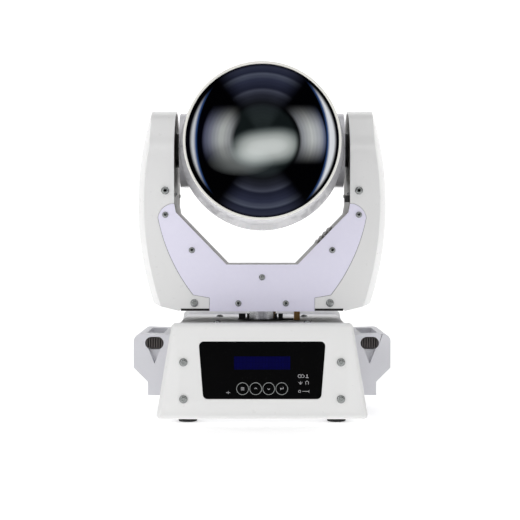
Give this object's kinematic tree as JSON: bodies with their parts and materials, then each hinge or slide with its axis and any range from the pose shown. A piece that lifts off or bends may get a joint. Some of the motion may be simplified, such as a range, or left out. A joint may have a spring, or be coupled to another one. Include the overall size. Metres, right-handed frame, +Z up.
{
  "type": "moving head light",
  "caption": "Stage light with a lensed head that tilts in a panning yoke on a low base with display, keys and side grips.",
  "frame": {"origin": "on the pan axis at the underside of the base, centre of the clamp hole pattern", "axes": "+X to the right of somebody facing the display, -Y towards that person (the way the lens points at rest), +Z up"},
  "size_m": [0.308, 0.328, 0.423],
  "materials": {
    "white_cover": "smooth white moulded cover",
    "white_metal": "white powder-coated sheet",
    "handle_grey": "fine-textured pale moulding",
    "yoke_plate": "satin pale lavender paint",
    "frame_grey": "warm dark grey paint",
    "black_gloss": "black acrylic",
    "lcd": "dark blue display glass",
    "board": "green circuit board",
    "button": "black keys with pale rings",
    "rubber": "black rubber",
    "steel": "bright machined steel",
    "black_metal": "black finish",
    "black_plastic": "black moulding",
    "blue_plastic": "blue socket moulding",
    "aluminium": "plain aluminium",
    "brass": "dull brass",
    "lens_glass": "coated optical glass",
    "dichroic": "dichroic filter glass",
    "mirror": "silvered reflector",
    "lamp_glass": "clear quartz bulb in a ceramic base"
  },
  "bodies": {
    "base": {"base_bottom_plate": "white_metal", "base_shell": "white_metal", "base_front_cover": "white_cover", "base_rear_cover": "white_cover", "left_handle": "handle_grey", "right_handle": "handle_grey", "display_panel": "black_gloss", "lcd_module": "lcd", "display_board": "board", "base_feet": "rubber", "base_screws": "steel", "power_sockets": "blue_plastic", "data_sockets": "black_plastic", "fuse_holder": "black_plastic", "safety_eye": "steel", "power_supply": "aluminium", "lamp_ballast": "aluminium", "pan_column": "steel", "pan_pulley": "aluminium", "pan_sensor_bracket": "black_plastic"},
    "menu_button": {"menu_button": "button"},
    "up_button": {"up_button": "button"},
    "down_button": {"down_button": "button"},
    "enter_button": {"enter_button": "button"},
    "pan_latch": {"pan_lock_latch": "brass"},
    "yoke": {"yoke_frame": "frame_grey", "yoke_front_plate": "yoke_plate", "yoke_rear_plate": "yoke_plate", "left_arm_cover": "white_cover", "right_arm_cover": "white_cover", "yoke_cover_screws": "steel", "yoke_plate_screws": "steel", "pan_bearing": "steel", "pan_motor": "black_metal", "pan_belt": "rubber", "tilt_motor": "black_metal", "tilt_belt": "rubber", "tilt_bearings": "steel"},
    "pan_drive_pulley": {"pan_motor_pulley": "aluminium"},
    "tilt_drive_pulley": {"tilt_motor_pulley": "aluminium"},
    "tilt_latch": {"tilt_lock_latch": "black_plastic"},
    "head": {"head_upper_shell": "white_cover", "head_lower_shell": "white_cover", "front_bezel": "white_cover", "front_lens": "lens_glass", "lens_seal": "rubber", "head_chassis": "aluminium", "tilt_hubs": "black_metal", "tilt_pulley": "aluminium", "reflector": "mirror", "lamp": "lamp_glass", "head_fan_frame": "black_metal", "rear_grille": "black_metal"},
    "head_fan": {"head_fan_rotor": "black_plastic"},
    "colour_disc": {"colour_wheel": "dichroic"},
    "gobo_disc": {"gobo_wheel": "aluminium"},
    "left_shutter": {"left_shutter_blade": "black_metal"},
    "right_shutter": {"right_shutter_blade": "black_metal"},
    "focus": {"focus_carriage": "black_metal", "focus_lens": "lens_glass"}
  },
  "joints": [
    {"name": "pan", "type": "hinge", "parent": "base", "child": "yoke", "pos_m": [0, 0, 0.12], "axis": [0, 0, 1], "range_deg": [-270, 270]},
    {"name": "tilt", "type": "hinge", "parent": "yoke", "child": "head", "pos_m": [0, 0, 0.3175], "axis": [-1, 0, 0], "range_deg": [-28, 208]},
    {"name": "pan_drive", "type": "hinge", "parent": "yoke", "child": "pan_drive_pulley", "pos_m": [0.074, 0, 0.141], "axis": [0, 0, 1], "range_deg": [-1150, 1150]},
    {"name": "tilt_drive", "type": "hinge", "parent": "yoke", "child": "tilt_drive_pulley", "pos_m": [0.134, 0, 0.202], "axis": [-1, 0, 0], "range_deg": [-88, 652]},
    {"name": "pan_lock", "type": "slide", "parent": "base", "child": "pan_latch", "axis": [1, 0, 0], "range_m": [0, 0.006]},
    {"name": "tilt_lock", "type": "slide", "parent": "yoke", "child": "tilt_latch", "axis": [0, 1, 0], "range_m": [0, 0.006]},
    {"name": "head_fan_spin", "type": "hinge", "parent": "head", "child": "head_fan", "pos_m": [0, 0.104, 0.3175], "axis": [0, 1, 0], "continuous": true},
    {"name": "colour_spin", "type": "hinge", "parent": "head", "child": "colour_disc", "pos_m": [0, -0.004, 0.2835], "axis": [0, 1, 0], "continuous": true},
    {"name": "gobo_spin", "type": "hinge", "parent": "head", "child": "gobo_disc", "pos_m": [0, -0.014, 0.3515], "axis": [0, 1, 0], "continuous": true},
    {"name": "right_shutter_swing", "type": "hinge", "parent": "head", "child": "right_shutter", "pos_m": [0.048, 0.014, 0.3375], "axis": [0, 1, 0], "range_deg": [0, 55]},
    {"name": "left_shutter_swing", "type": "hinge", "parent": "head", "child": "left_shutter", "pos_m": [-0.048, 0.01, 0.3375], "axis": [0, -1, 0], "range_deg": [0, 55]},
    {"name": "focus_slide", "type": "slide", "parent": "head", "child": "focus", "axis": [0, -1, 0], "range_m": [0, 0.045]},
    {"name": "menu_button_press", "type": "slide", "parent": "base", "child": "menu_button", "axis": [0, 1, 0], "range_m": [0, 0.0008], "stiffness_N_per_m": 400},
    {"name": "up_button_press", "type": "slide", "parent": "base", "child": "up_button", "axis": [0, 1, 0], "range_m": [0, 0.0008], "stiffness_N_per_m": 400},
    {"name": "down_button_press", "type": "slide", "parent": "base", "child": "down_button", "axis": [0, 1, 0], "range_m": [0, 0.0008], "stiffness_N_per_m": 400},
    {"name": "enter_button_press", "type": "slide", "parent": "base", "child": "enter_button", "axis": [0, 1, 0], "range_m": [0, 0.0008], "stiffness_N_per_m": 400}
  ],
  "couplings": [
    {"joint": "pan_drive", "follows": "pan", "ratio": -4.25},
    {"joint": "tilt_drive", "follows": "tilt", "ratio": 3.125},
    {"joint": "left_shutter_swing", "follows": "right_shutter_swing", "ratio": 1}
  ]
}
